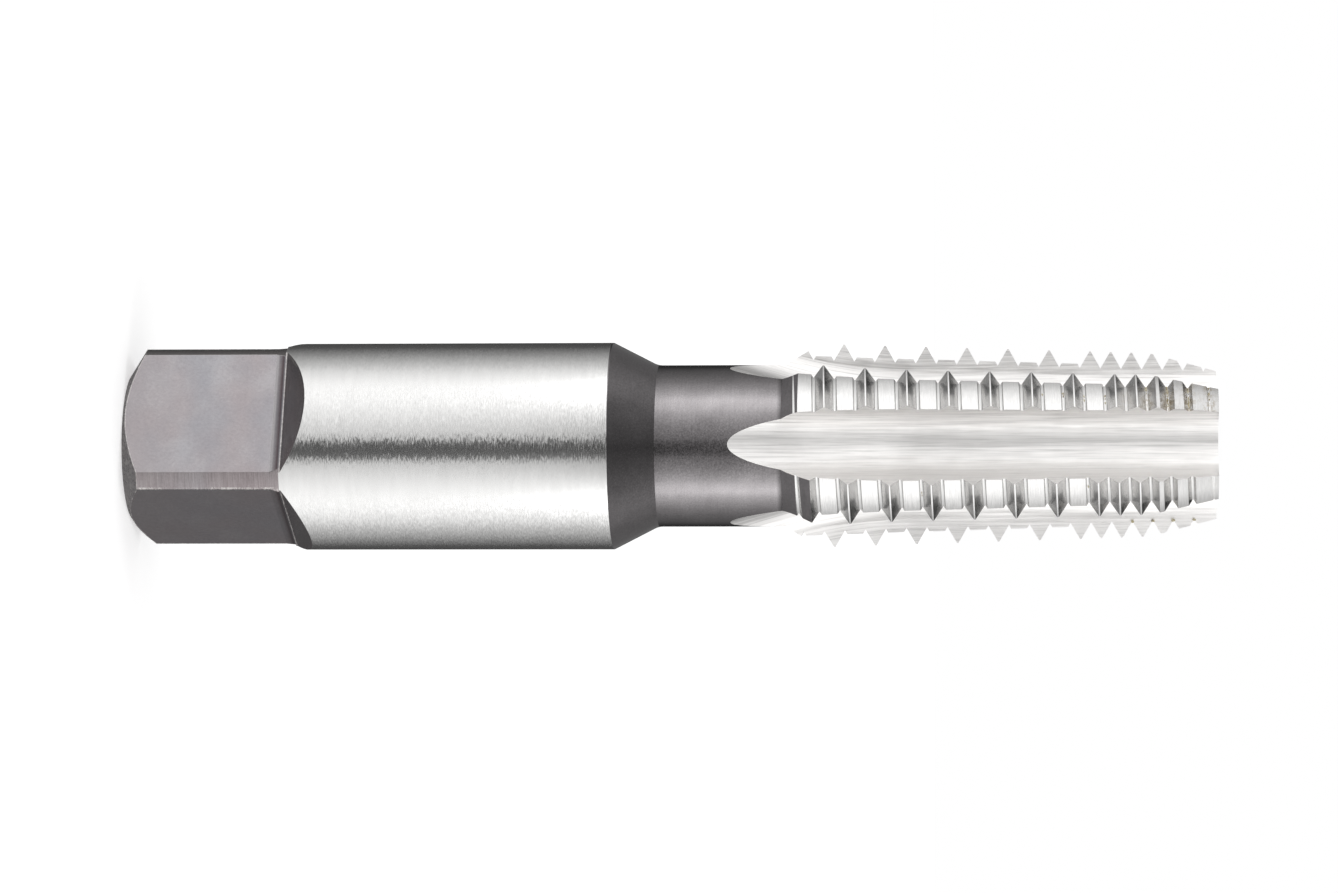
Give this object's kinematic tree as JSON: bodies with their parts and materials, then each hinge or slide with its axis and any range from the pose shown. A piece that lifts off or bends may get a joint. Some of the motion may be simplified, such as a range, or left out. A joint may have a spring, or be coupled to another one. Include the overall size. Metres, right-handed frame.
{
  "type": "taper pipe thread tap",
  "caption": "Right-hand taper pipe tap with straight flutes, an interrupted thread, a slimmer neck, a round shank and a square drive end.",
  "frame": {"origin": "centre of the square's flat end face, which the tap stands on", "axes": "+Z along the tap's axis, from the square end to the point; one flute faces -Y, its middle a degree off it"},
  "size_m": [0.0142, 0.0142, 0.075],
  "materials": {
    "tool_steel": "ground bright on shank, flutes and thread, dark oxide on the square and the neck"
  },
  "bodies": {
    "root": {"thread_tap": "tool_steel"}
  },
  "joints": []
}
